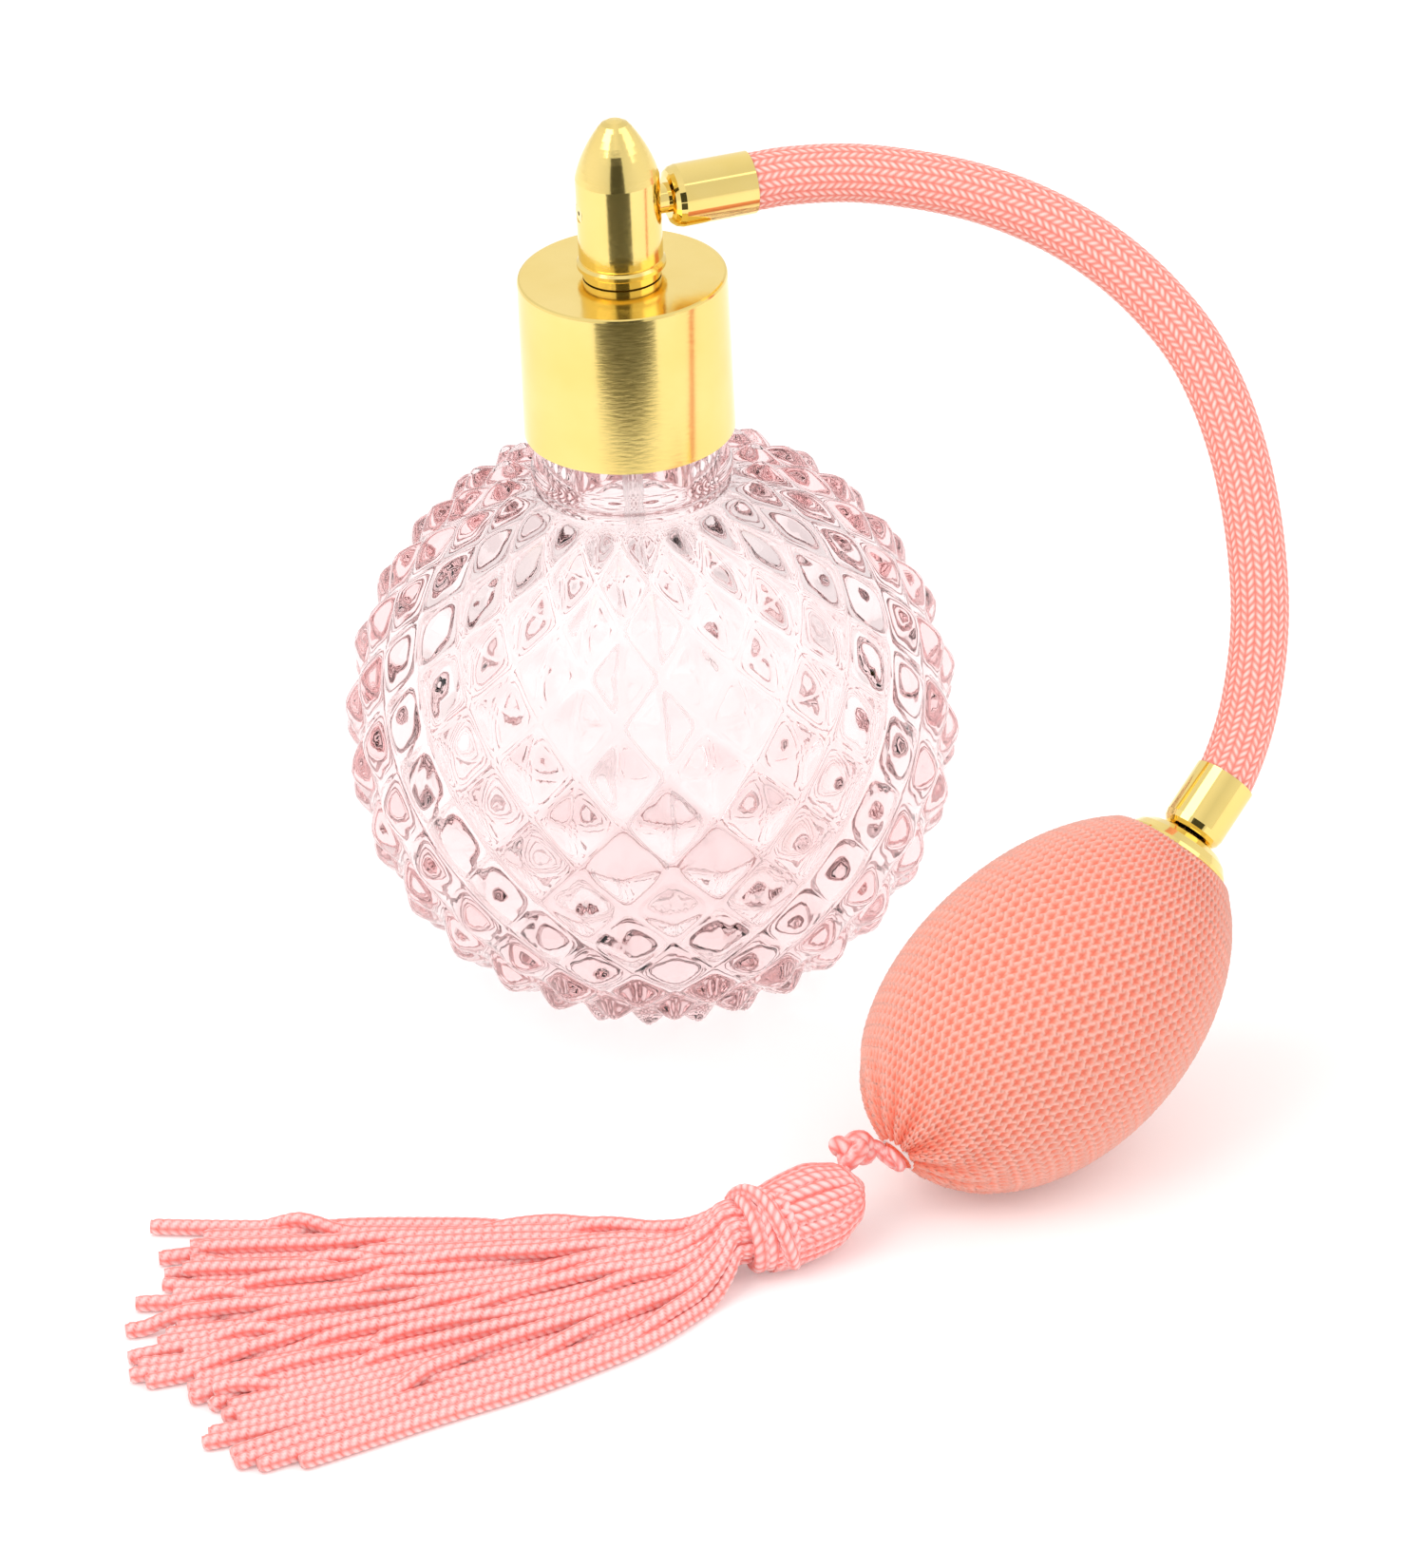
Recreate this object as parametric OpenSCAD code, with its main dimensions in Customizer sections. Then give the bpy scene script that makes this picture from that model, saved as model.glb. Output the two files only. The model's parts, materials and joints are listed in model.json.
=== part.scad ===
// Squeeze-bulb perfume atomiser: a hobnail glass ball bottle, a screw collar with a swivelling
// spray head, an air hose, a knitted air bulb and a tassel.
// Millimetres, +Z up. The origin is the centre of the bottle's flat base.

/* [Bottle] */
// Diameter of the ball over the tips of its hobnails
ball_d = 78.8; // [77:0.2:80]
// Height of the hobnail pyramids above the valleys between them
hob_h = 2.8; // [1.5:0.1:3.4]
// Height of the ball's centre above the table
ball_z = 33.5; // [32:0.5:36]
// Distance of the neck's axis from the ball's centre, as the mould leaves it
neck_x = -0.9; // [-1.2:0.1:0]
// Radius of the flat base that the bottle stands on
base_r = 17; // [14:0.5:19]
// Height of the rim of the bottle's mouth
mouth_z = 90; // [89:0.5:91]
// Radius of the bore through the neck
neck_bore_r = 7.8; // [7:0.1:8.2]
// Radius of the visible shoulder below the collar
shoulder_r = 12.3; // [11.8:0.1:12.5]

/* [Collar] */
// Outer radius of the collar at its lower edge
collar_r = 13.3; // [13.1:0.1:14]
// Height of the collar's lower edge
collar_z = 75.3; // [75:0.1:76]
// Length of the collar
collar_h = 21.3; // [21:0.1:22.5]
// Rise of the neck's screw thread in one turn
thread_pitch = 3; // [2.5:0.5:3]

/* [Spray head] */
// Radius of the head's cylindrical body
head_r = 5.3; // [5:0.1:6]
// Height of the head above the collar's top
head_h = 21.3; // [20.9:0.1:22]
// Direction of the hose nipple, anticlockwise from +X
nipple_az = 17; // [0:1:40]

/* [Hose and bulb] */
// Outer diameter of the braided hose
hose_d = 7.4; // [6.8:0.1:7.6]
// Half the length of the air bulb, end to end
bulb_a = 27.8; // [26:0.2:30]
// Radius of the covered air bulb at its middle
bulb_b = 18.5; // [17:0.1:19]
// Thickness of the knitted cover
cover_t = 1.2; // [0.8:0.1:1.6]

/* [Tassel] */
// Radius of the tassel's folded head
tassel_r = 5.7; // [5:0.1:6.2]
// Length of the free cords below the wrap
skirt_len = 78; // [60:1:90]
// Angle that the loose cords fan out over
skirt_fan = 43; // [20:1:60]

/* [Hidden] */
$fn = 96;

gold = [0.92, 0.78, 0.38];
coral = [0.96, 0.62, 0.55];
coral_light = [0.99, 0.74, 0.68];

// Hobnails: twenty diamonds round the ball, with rows staggered by half a diamond
hobs = 20;
row_step = 9.5;
row_first = -59;
rows = 14;
tip_r = ball_d / 2;
valley_r = tip_r - hob_h;
hob_turn = -6.5;
cavity_r = 30.6;
cavity_z = ball_z + 1;
floor_z = 8;
finish_r = 10;
thread_h = 1.1;
thread_z = 80;
thread_turns = 2;

// Heights along the bottle's axis
collar_top = collar_z + collar_h;
gasket_z = mouth_z;
flange_z = gasket_z + 1;
flange_top = flange_z + 2;
plug_z = gasket_z - 7;
nipple_z = collar_top + 9.4;
head_z = collar_top + 1.2;
boss_top = nipple_z - 2.2;
liner_r = collar_r - 0.5;
liner_bore = finish_r + thread_h + 0.25;
web_hole_r = 4.2;
boss_r = 3;
head_wall = 0.45;
orifice_r = 0.3;
nipple_r = 1.9;
nipple_bore = 1.1;
dip_r = 1.3;

// Hose: fittings and the points its centre line passes through
ferrule_r = hose_d / 2 + 0.3;
ferrule_bore = hose_d / 2 + 0.12;
ferrule_gap = 6.3;
ferrule_end = 17.2;
lining_r = 2.9;
hose_sides = 12;
ring_steps = 2;
hose_route = [
  [7.5, 2.6, 106], [15.6, 5, 106], [20.6, 6.3, 106], [28, 7.3, 105.5], [35.2, 7, 104.6],
  [42.2, 6, 103.3], [48.8, 4.4, 101], [55, 2.3, 98.4], [60.6, -0.3, 95], [65.5, -3.3, 90.9],
  [69.6, -6.7, 86.3], [72.5, -10.6, 81.2], [74.5, -14.6, 75.7], [75.7, -18.5, 70],
  [76.3, -22.2, 64], [76.3, -25.7, 57.9], [75.4, -29, 51.7], [73.7, -32.4, 45.8],
  [70.9, -36.4, 40.7], [67.4, -39.6, 37.1]
];

// Bulb: its own axis, and the slightly steeper axis of its cap and hose fitting
bulb_c = [47.2, -55.8, 21.3];
bulb_az = 36.5;
bulb_inc = 27.5;
cap_p = [65.3, -41.6, 34.9];
cap_az = 43;
cap_inc = 37;
bulb_wall = 1.8;
fatter = 0.04;

// Tail: the tie round the gathered cover, the loop and the tassel lying on the table
tail_gap = 0.9;
knot_p = [22.3, -71, 10.3];
tassel_p = [18.3, -76.6, 6.2];
wrap_p = [10.9, -80.7, 5.4];
tassel_az = 209;
skirt_az = 190;
cord_d = 2.1;

// Directions and smooth curves
function dir(az, inc) = [cos(inc) * cos(az), cos(inc) * sin(az), sin(inc)];
function unit(v) = v / norm(v);
function curve_at(a, b, c, d, t) =
  0.5 * (2 * b + (c - a) * t + (2 * a - 5 * b + 4 * c - d) * t * t
  + (3 * b - a - 3 * c + d) * t * t * t);
function smooth(p, n) = let (e = concat([2 * p[0] - p[1]], p, [2 * p[len(p) - 1] - p[len(p) - 2]]))
  concat([for (i = [1:len(e) - 3], k = [0:n - 1])
    curve_at(e[i - 1], e[i], e[i + 1], e[i + 2], k / n)], [p[len(p) - 1]]);
function tangent(p, i) = unit(p[min(i + 1, len(p) - 1)] - p[max(i - 1, 0)]);
function ring(p, i, r, n) = let (t = tangent(p, i), x = unit(cross(t, [0.3, 0.9, 0.2])), y = cross(t, x))
  [for (k = [0:n - 1]) p[i] + r * (cos(360 * k / n) * x + sin(360 * k / n) * y)];

// A hollow tube with n sides along the points p
module tube(p, r_out, r_in, n) {
  m = len(p);
  pts = [for (r = [r_out, r_in], i = [0:m - 1]) each ring(p, i, r, n)];
  wall = [for (i = [0:m - 2], k = [0:n - 1]) let (a = i * n + k, b = i * n + (k + 1) % n)
    [a, b, b + n, a + n]];
  ends = [for (k = [0:n - 1]) let (a = k, b = (k + 1) % n) each
    [[b, a, a + m * n, b + m * n], [a + (m - 1) * n, b + (m - 1) * n, b + (2 * m - 1) * n,
      a + (2 * m - 1) * n]]];
  inner = [for (f = wall) [f[3] + m * n, f[2] + m * n, f[1] + m * n, f[0] + m * n]];
  polyhedron(points = pts, faces = concat(wall, inner, ends));
}

// A ring of rectangular section
module washer(r_out, r_in, z, h) {
  translate([0, 0, z])
    difference() {
      cylinder(r = r_out, h = h);
      translate([0, 0, -1])
        cylinder(r = r_in, h = h + 2);
    }
}

module on_neck() {
  translate([neck_x, 0, 0])
    children();
}

module at_nipple() {
  translate([neck_x, 0, nipple_z])
    rotate([0, 90, nipple_az])
      children();
}

module at_bulb() {
  translate(bulb_c)
    rotate([0, 90 - bulb_inc, bulb_az])
      children();
}

module at_cap() {
  translate(cap_p)
    rotate([0, 90 - cap_inc, cap_az])
      children();
}

// The hobnail skin: every lattice point is a tip or a valley, and triangles join the valleys
function skin_r(row, col) = (row + col) % 2 == 0 ? tip_r : valley_r;
function skin_at(row, col) = let (lat = row_first + row * row_step, r = skin_r(row, col),
  lon = hob_turn - 90 + col * 180 / hobs)
  [r * cos(lat) * cos(lon), r * cos(lat) * sin(lon), max(0.3, ball_z + r * sin(lat))];
function flat_ring(r, z) = [for (col = [0:2 * hobs - 1]) let (lon = hob_turn - 90 + col * 180 / hobs)
  [r * cos(lon), r * sin(lon), z]];

module hobnail_ball() {
  n = 2 * hobs;
  pts = concat(flat_ring(base_r, 0),
    [for (row = [0:rows - 1], col = [0:n - 1]) skin_at(row, col)],
    flat_ring(shoulder_r, 69));
  quads = [for (row = [0:rows], col = [0:n - 1]) let (a = row * n + col, b = row * n + (col + 1) % n)
    (row + col) % 2 == 1 ? [[a, a + n, b], [b, a + n, b + n]] : [[a, b + n, b], [a, a + n, b + n]]];
  polyhedron(points = pts,
    faces = concat([for (q = quads) each q], [[for (k = [0:n - 1]) k]],
      [[for (k = [n - 1:-1:0]) (rows + 1) * n + k]]));
}

// The screw thread of the bottle's neck, a triangular ridge wound up the finish
module neck_thread() {
  per_turn = 24;
  m = thread_turns * per_turn;
  pts = [for (i = [0:m]) let (a = 360 * i / per_turn, z = thread_z + thread_pitch * i / per_turn,
    h = thread_h * min(1, i / 4, (m - i) / 4)) each
    [for (q = [[finish_r - 0.6, z - 1], [finish_r + h, z - 0.3], [finish_r + h, z + 0.3],
      [finish_r - 0.6, z + 1]]) [q[0] * cos(a), q[0] * sin(a), q[1]]]];
  walls = [for (i = [0:m - 1], k = [0:3]) let (a = 4 * i + k, b = 4 * i + (k + 1) % 4) each
    [[a, a + 4, b], [b, a + 4, b + 4]]];
  polyhedron(points = pts, faces = concat(walls, [[0, 1, 2, 3]], [[4 * m + 3, 4 * m + 2, 4 * m + 1, 4 * m]]));
}

module glass_bottle() {
  color([0.98, 0.9, 0.91, 0.4])
    difference() {
      union() {
        hobnail_ball();
        translate([neck_x, 0, 60])
          rotate_extrude()
            polygon([[0, 0], [9, 0], [shoulder_r - 0.4, 8.5], [shoulder_r + 0.5, 9.6],
              [shoulder_r + 0.5, 10.4], [shoulder_r, 11.2], [shoulder_r, 15.8],
              [finish_r, 16.6], [finish_r, mouth_z - 60.6], [finish_r - 0.6, mouth_z - 60],
              [0, mouth_z - 60]]);
        on_neck()
          neck_thread();
      }
      intersection() {
        translate([0, 0, cavity_z])
          sphere(r = cavity_r);
        translate([-50, -50, floor_z])
          cube([100, 100, 100]);
      }
      translate([neck_x, 0, cavity_z])
        cylinder(r = neck_bore_r, h = 100);
    }
}

module stem_body() {
  color("white")
    difference() {
      rotate_extrude()
        polygon([[0, plug_z], [6.2, plug_z], [7.6, plug_z + 1.5], [7.6, flange_z], [9.4, flange_z],
          [9.4, flange_top], [4.1, flange_top], [4.1, collar_top + 0.1],
          [boss_r, collar_top + 0.1], [boss_r, boss_top - 1.9], [boss_r - 0.6, boss_top - 1.9],
          [boss_r - 0.6, boss_top - 0.9], [boss_r, boss_top - 0.9], [boss_r, boss_top],
          [0, boss_top]]);
      translate([0, 0, plug_z - 1])
        cylinder(r = dip_r, h = flange_z - plug_z + 1);
      translate([0, 0, plug_z - 1])
        cylinder(r = 0.8, h = 40);
    }
}

module neck_gasket() {
  color("dimgray")
    washer(9.4, 7.65, gasket_z, flange_z - gasket_z);
}

module stem_seal() {
  color("black")
    washer(boss_r + 0.03, boss_r - 0.6, boss_top - 1.85, 0.9);
}

module swivel_washer() {
  color(gold)
    washer(head_r - 0.35, boss_r, collar_top + 0.15, head_z - collar_top - 0.25);
}

module dip_tube() {
  color([1, 1, 1, 0.6])
    washer(dip_r, 0.8, floor_z + 2, flange_z - floor_z - 2);
}

module collar_shell() {
  color(gold)
    difference() {
      rotate_extrude()
        polygon([[0, collar_z], [collar_r, collar_z], [collar_r - 0.12, collar_top - 0.35],
          [collar_r - 0.24, collar_top - 0.1], [collar_r - 0.5, collar_top], [0, collar_top]]);
      translate([0, 0, collar_z - 1])
        cylinder(r = liner_r, h = collar_h + 0.5);
      translate([0, 0, collar_z - 1])
        cylinder(r = web_hole_r, h = collar_h + 5);
    }
}

module collar_liner() {
  color("white")
    difference() {
      translate([0, 0, collar_z + 1.2])
        cylinder(r = liner_r, h = collar_h - 1.7);
      translate([0, 0, collar_z])
        cylinder(r = liner_bore, h = flange_top + 0.1 - collar_z);
      translate([0, 0, collar_z])
        cylinder(r = web_hole_r, h = collar_h + 5);
    }
}

// Outline of the bullet-shaped head, from its rolled bead to its rounded tip
crease_z = collar_top + 13.6;
cone_top = collar_top + head_h - 1;
cone_r = 2.15;
function head_outline() = concat(
  [[head_r - 0.1, head_z], [head_r + 0.3, head_z + 0.3], [head_r + 0.3, head_z + 0.8],
    [head_r - 0.1, head_z + 1.1], [head_r, head_z + 1.5], [head_r, crease_z]],
  [for (i = [1:8]) let (t = i / 8)
    [head_r - (head_r - cone_r) * (t + t * t) / 2, crease_z + (cone_top - crease_z) * t]],
  [[1.7, cone_top + 0.5], [1, cone_top + 0.85], [0, cone_top + 1]]);

module head_shell() {
  color(gold)
    difference() {
      on_neck()
        rotate_extrude()
          polygon(concat([[0, head_z]], head_outline()));
      translate([neck_x, 0, head_z - 1])
        cylinder(r = head_r - head_wall, h = crease_z - head_z + 1);
      at_nipple()
        translate([0, 0, 2])
          cylinder(r = nipple_r, h = 10);
      at_nipple()
        translate([0, 0, -12])
          cylinder(r = 1.2, h = 10);
    }
}

module head_core() {
  color("white")
    difference() {
      translate([neck_x, 0, head_z + 0.4])
        cylinder(r = head_r - head_wall, h = crease_z - head_z - 0.5);
      translate([neck_x, 0, head_z])
        cylinder(r = boss_r + 0.05, h = boss_top + 0.15 - head_z);
      translate([neck_x, 0, head_z])
        cylinder(r = 0.6, h = nipple_z - head_z);
      at_nipple()
        translate([0, 0, -2.6])
          cylinder(r = 0.8, h = 10);
      at_nipple()
        translate([0, 0, 1.8])
          cylinder(r = nipple_r, h = 10);
      at_nipple()
        translate([0, 0, -12.5])
          cylinder(r = 1.2, h = 10);
    }
}

module nozzle_insert() {
  color(gold)
    at_nipple()
      translate([0, 0, 0.1 - head_r])
        washer(1.2, orifice_r, 0, head_r - 2.6);
}

module air_nipple() {
  color(gold)
    at_nipple()
      washer(nipple_r, nipple_bore, 1.8, 13);
}

// A ferrule with a rounded closed end, its mouth at z = length
module ferrule(r, length, hole) {
  difference() {
    rotate_extrude()
      polygon([[0, 0], [r - 1.3, 0], [r - 0.6, 0.25], [r - 0.2, 0.75], [r, 1.5], [r, length], [0, length]]);
    translate([0, 0, 1.5])
      cylinder(r = ferrule_bore, h = length);
    translate([0, 0, -1])
      cylinder(r = hole, h = length);
  }
}

module head_ferrule() {
  color(gold)
    at_nipple()
      translate([0, 0, ferrule_gap])
        ferrule(ferrule_r, ferrule_end - ferrule_gap, nipple_r);
}

module hose_lining() {
  color("gray")
    tube(smooth(hose_route, ring_steps), lining_r, nipple_r + 0.1, hose_sides);
}

module hose_braid() {
  color(coral_light)
    tube(smooth(hose_route, ring_steps), hose_d / 2, lining_r + 0.05, hose_sides);
}

cap_neck = 1;
mouth = 9.6;
valve_r = 1.6;

module bulb_ferrule() {
  color(gold)
    at_cap()
      translate([0, 0, cap_neck])
        ferrule(ferrule_r, mouth - cap_neck, nipple_r);
}

module bulb_connector() {
  color(gold)
    at_cap()
      difference() {
        translate([0, 0, -9])
          cylinder(r = nipple_r - 0.05, h = mouth + 8.4);
        translate([0, 0, -10])
          cylinder(r = nipple_bore, h = 40);
        translate([0, 0, -6])
          cylinder(r = valve_r, h = 3);
      }
}

module outlet_valve_disc() {
  color("black")
    at_cap()
      translate([0, 0, -5.95])
        cylinder(r = valve_r - 0.08, h = 0.8);
}

module bulb_cap() {
  color(gold)
    at_cap()
      difference() {
        rotate_extrude()
          polygon([[0, -2.4], [6.9, -2.4], [7.1, -2], [6.95, -1.5], [6.2, -0.5], [5.1, 0.3],
            [3.8, 0.75], [0, 0.9]]);
        translate([0, 0, -3])
          rotate_extrude()
            polygon([[0, 0], [6.5, 0], [6.4, 1.2], [5.7, 2.1], [4.7, 2.85], [3.5, 3.25], [0, 3.4]]);
        translate([0, 0, -9])
          cylinder(r = nipple_r, h = 40);
      }
}

// Egg outline of the bulb from its tail to its cap, drawn in by d all round
function egg(d) = [for (i = [0:28]) let (t = 180 * i / 28, z = -cos(t))
  [(bulb_b - d) * sin(t) * (1 - fatter * z), (bulb_a - d) * z]];

module bulb_layer(d_out, d_in, cap_cut) {
  difference() {
    at_bulb()
      rotate_extrude()
        polygon(egg(d_out));
    at_bulb()
      rotate_extrude()
        polygon(egg(d_in));
    at_cap()
      translate([0, 0, -12])
        cylinder(r = nipple_r, h = 30);
    at_cap()
      translate([0, 0, cap_cut])
        cylinder(r = 7.2, h = 30);
    at_bulb()
      translate([0, 0, -40])
        cylinder(r = 2.6, h = 20);
  }
}

module air_bulb() {
  color([0.75, 0.7, 0.68])
    bulb_layer(cover_t + 0.1, cover_t + 0.1 + bulb_wall, -3.05);
}

module bulb_cover() {
  color(coral)
    bulb_layer(0, cover_t, -2.45);
}

module inlet_valve_seat() {
  color("white")
    at_bulb()
      translate([0, 0, -bulb_a])
        difference() {
          translate([0, 0, 0.6])
            cylinder(r = 2.5, h = 6);
          translate([0, 0, -1])
            cylinder(r = 0.8, h = 10);
          translate([0, 0, 2.8])
            cylinder(r = valve_r, h = 2.4);
        }
}

module inlet_valve_disc() {
  color("black")
    at_bulb()
      translate([0, 0, 2.85 - bulb_a])
        cylinder(r = valve_r - 0.08, h = 0.8);
}

// The cord that gathers the cover's end, tied round it just beyond the tail
module cover_tie() {
  color(coral)
    at_bulb()
      translate([0, 0, -bulb_a - tail_gap])
        rotate_extrude()
          translate([1.3, 0])
            circle(r = 0.9);
}

module tassel_loop() {
  color(coral)
    translate(knot_p)
      sphere(r = 1.8);
}

module tassel_head() {
  color(coral)
    translate(tassel_p)
      rotate([0, 84, tassel_az])
        rotate_extrude()
          polygon([for (i = [0:16]) let (t = 180 * i / 16)
            [tassel_r * sin(t) * (1 - 0.08 * cos(t)), -5.2 * cos(t)]]);
}

module tassel_wrap() {
  color(coral)
    translate(wrap_p)
      rotate([0, 90, (tassel_az + skirt_az) / 2])
        difference() {
          translate([0, 0, -3.1])
            cylinder(r = 5.3, h = 6.2);
          translate([0, 0, -5])
            cylinder(r = 3.6, h = 10);
        }
}

// Outer shape of the loose cords, a fan that thins from the wrap to the cut ends
module tassel_skirt() {
  color(coral_light)
    hull() {
      translate(wrap_p)
        rotate([0, 90, skirt_az])
          translate([0, 0, 4.3])
            cylinder(r = 4.2, h = 1, $fn = 24);
      for (a = [-0.5:0.25:0.5])
        translate([wrap_p[0], wrap_p[1], 0] + skirt_len * dir(skirt_az + a * skirt_fan, 0))
          cylinder(r = cord_d, h = 2 * cord_d, $fn = 16);
    }
}

glass_bottle();
on_neck() stem_body();
on_neck() neck_gasket();
on_neck() stem_seal();
on_neck() swivel_washer();
on_neck() dip_tube();
on_neck() collar_shell();
on_neck() collar_liner();
head_shell();
head_core();
nozzle_insert();
air_nipple();
head_ferrule();
hose_lining();
hose_braid();
bulb_ferrule();
bulb_connector();
bulb_cap();
outlet_valve_disc();
air_bulb();
bulb_cover();
inlet_valve_seat();
inlet_valve_disc();
cover_tie();
tassel_loop();
tassel_head();
tassel_wrap();
tassel_skirt();
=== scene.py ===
import json
import math

import bmesh
import bpy
import numpy as np
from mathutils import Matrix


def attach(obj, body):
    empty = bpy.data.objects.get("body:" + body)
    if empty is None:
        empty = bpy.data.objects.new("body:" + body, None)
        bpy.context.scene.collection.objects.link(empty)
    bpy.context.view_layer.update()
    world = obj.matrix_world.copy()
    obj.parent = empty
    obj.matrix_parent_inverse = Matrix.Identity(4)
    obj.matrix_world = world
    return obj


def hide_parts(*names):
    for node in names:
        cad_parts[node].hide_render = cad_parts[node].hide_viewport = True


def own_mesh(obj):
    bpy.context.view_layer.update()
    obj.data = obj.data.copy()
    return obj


# Looks of the squeeze-bulb perfume atomiser. Shapes are worked out in millimetres and made in metres.

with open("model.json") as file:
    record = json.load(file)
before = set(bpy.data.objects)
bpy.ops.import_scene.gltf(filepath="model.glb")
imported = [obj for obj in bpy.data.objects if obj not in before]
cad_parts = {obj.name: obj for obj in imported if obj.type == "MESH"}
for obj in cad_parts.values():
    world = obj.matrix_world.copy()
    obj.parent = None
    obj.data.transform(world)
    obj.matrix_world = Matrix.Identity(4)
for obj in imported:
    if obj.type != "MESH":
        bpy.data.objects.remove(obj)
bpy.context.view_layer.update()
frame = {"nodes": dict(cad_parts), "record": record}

MM = 0.001

# Sizes and places that repeat the design's own values, in millimetres
BALL_R = 39.4
NECK_X = -0.9
HOB_H = 2.8
BALL_Z = 33.5
HOBS_ROUND = 40
ROW_STEP = 9.5
ROW_FIRST = -59.0
HOB_TURN = -96.5
CAVITY_R, CAVITY_Z, CAVITY_FLOOR = 30.6, 34.5, 8.0
SHOULDER_R, NECK_R, NECK_BORE_R, MOUTH_Z = 12.3, 10.0, 7.8, 90.0
THREAD_Z, THREAD_PITCH, THREAD_H, THREAD_TURNS = 80.0, 3.0, 1.1, 2

HOSE_D = 7.4
HOSE_ROUTE = [
    (7.5, 2.6, 106), (15.6, 5, 106), (20.6, 6.3, 106), (28, 7.3, 105.5), (35.2, 7, 104.5),
    (42.2, 6, 103.1), (48.8, 4.4, 101.1), (55, 2.3, 98.4), (60.6, -0.3, 95), (65.5, -3.3, 90.9),
    (69.6, -6.7, 86.3), (72.5, -10.6, 81.2), (74.5, -14.6, 75.7), (75.7, -18.5, 70),
    (76.3, -22.2, 64), (76.3, -25.7, 57.9), (75.4, -29, 51.7), (73.7, -32.4, 45.8),
    (70.9, -36.4, 40.7), (67.4, -39.6, 37.1),
]

BULB_C = np.array([47.2, -55.8, 21.3])
BULB_AZ, BULB_INC = 36.5, 27.5
BULB_A, BULB_B, BULB_FATTER = 27.8, 18.5, 0.04
CAP_P = np.array([65.3, -41.6, 34.9])
CAP_AZ, CAP_INC = 43.0, 37.0
CAP_R, CAP_RIM = 7.1, -2.3
SAG = 0.9
TAIL_GAP = 0.9

KNOT_P = np.array([22.3, -71, 10.3])
HEAD_P = np.array([18.3, -76.6, 6.2])
WRAP_P = np.array([10.9, -80.7, 5.4])
TASSEL_AZ, SKIRT_AZ = 209.0, 190.0
TASSEL_R = 5.7
CORD_D = 2.1
STRANDS = 38
STRAND_LENGTH = 78.0

rng = np.random.default_rng(11)


# ---------------------------------------------------------------- small geometry helpers

def unit(v):
    v = np.asarray(v, float)
    return v / np.linalg.norm(v)


def direction(az, inc):
    a, i = math.radians(az), math.radians(inc)
    return np.array([math.cos(i) * math.cos(a), math.cos(i) * math.sin(a), math.sin(i)])


def axes_of(w):
    """Three right-handed unit axes, the last along w and the first level."""
    w = unit(w)
    x = unit(np.cross([0, 0, 1], w))
    return x, np.cross(w, x), w


def smoothstep(x, low, high):
    t = np.clip((x - low) / (high - low), 0, 1)
    return t * t * (3 - 2 * t)


def curve_at(a, b, c, d, t):
    return 0.5 * (2 * b + (c - a) * t + (2 * a - 5 * b + 4 * c - d) * t ** 2 + (3 * b - a - 3 * c + d) * t ** 3)


def smooth_curve(points, steps=24):
    """A smooth curve through points, the same one that the design's hose follows."""
    p = np.asarray(points, float)
    e = np.vstack([2 * p[0] - p[1], p, 2 * p[-1] - p[-2]])
    out = [curve_at(*e[i - 1:i + 3], k / steps) for i in range(1, len(e) - 2) for k in range(steps)]
    return np.array(out + [p[-1]])


def path_length(path):
    return float(np.linalg.norm(np.diff(path, axis=0), axis=1).sum())


def even(path, count):
    """count points at even distances along path."""
    s = np.r_[0, np.cumsum(np.linalg.norm(np.diff(path, axis=0), axis=1))]
    at = np.linspace(0, s[-1], count)
    return np.stack([np.interp(at, s, path[:, k]) for k in range(3)], 1)


def frames_along(path):
    """Tangents and two side directions that don't twist, one row for each point of path."""
    tangents = np.gradient(path, axis=0)
    tangents /= np.linalg.norm(tangents, axis=1)[:, None]
    side = np.zeros_like(path)
    start = np.cross(tangents[0], [0.3, 0.2, 0.9])
    side[0] = unit(start)
    for i in range(1, len(path)):
        s = side[i - 1] - tangents[i] * (side[i - 1] @ tangents[i])
        side[i] = s / np.linalg.norm(s)
    return tangents, side, np.cross(tangents, side)


# ---------------------------------------------------------------- mesh helpers

def make_mesh(name, points, faces, material, height=None):
    """A smooth piece from points in millimetres. height, 0 to 1 at each point, is for its material, which
    paints shade on the low parts and highlights on the high ones.
    """
    mesh = bpy.data.meshes.new(name)
    mesh.from_pydata((np.asarray(points, float) * MM).tolist(), [], faces)
    mesh.polygons.foreach_set("use_smooth", [True] * len(mesh.polygons))
    if height is not None:
        layer = mesh.attributes.new("height", "FLOAT", "POINT")
        layer.data.foreach_set("value", np.asarray(height, np.float32).ravel())
    mesh.materials.append(material)
    mesh.validate()
    mesh.update()
    obj = bpy.data.objects.new(name, mesh)
    bpy.context.collection.objects.link(obj)
    return obj


def grid_faces(rows, cols, start=0, wrap_rows=False):
    """Quads of a grid whose columns close into rings, with rows going up and columns anticlockwise."""
    r = np.arange(rows if wrap_rows else rows - 1)[:, None]
    c = np.arange(cols)[None, :]
    up = (r + 1) % rows
    a, b = r * cols + c, r * cols + (c + 1) % cols
    d, e = up * cols + c, up * cols + (c + 1) % cols
    return (start + np.stack([a, b, e, d], -1).reshape(-1, 4)).tolist()


def fan(first, count, centre, flip=False):
    """Triangles from a ring of points to one centre point."""
    faces = [(first + (k + 1) % count, first + k, centre) for k in range(count)]
    return [f[::-1] for f in faces] if flip else faces


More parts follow.
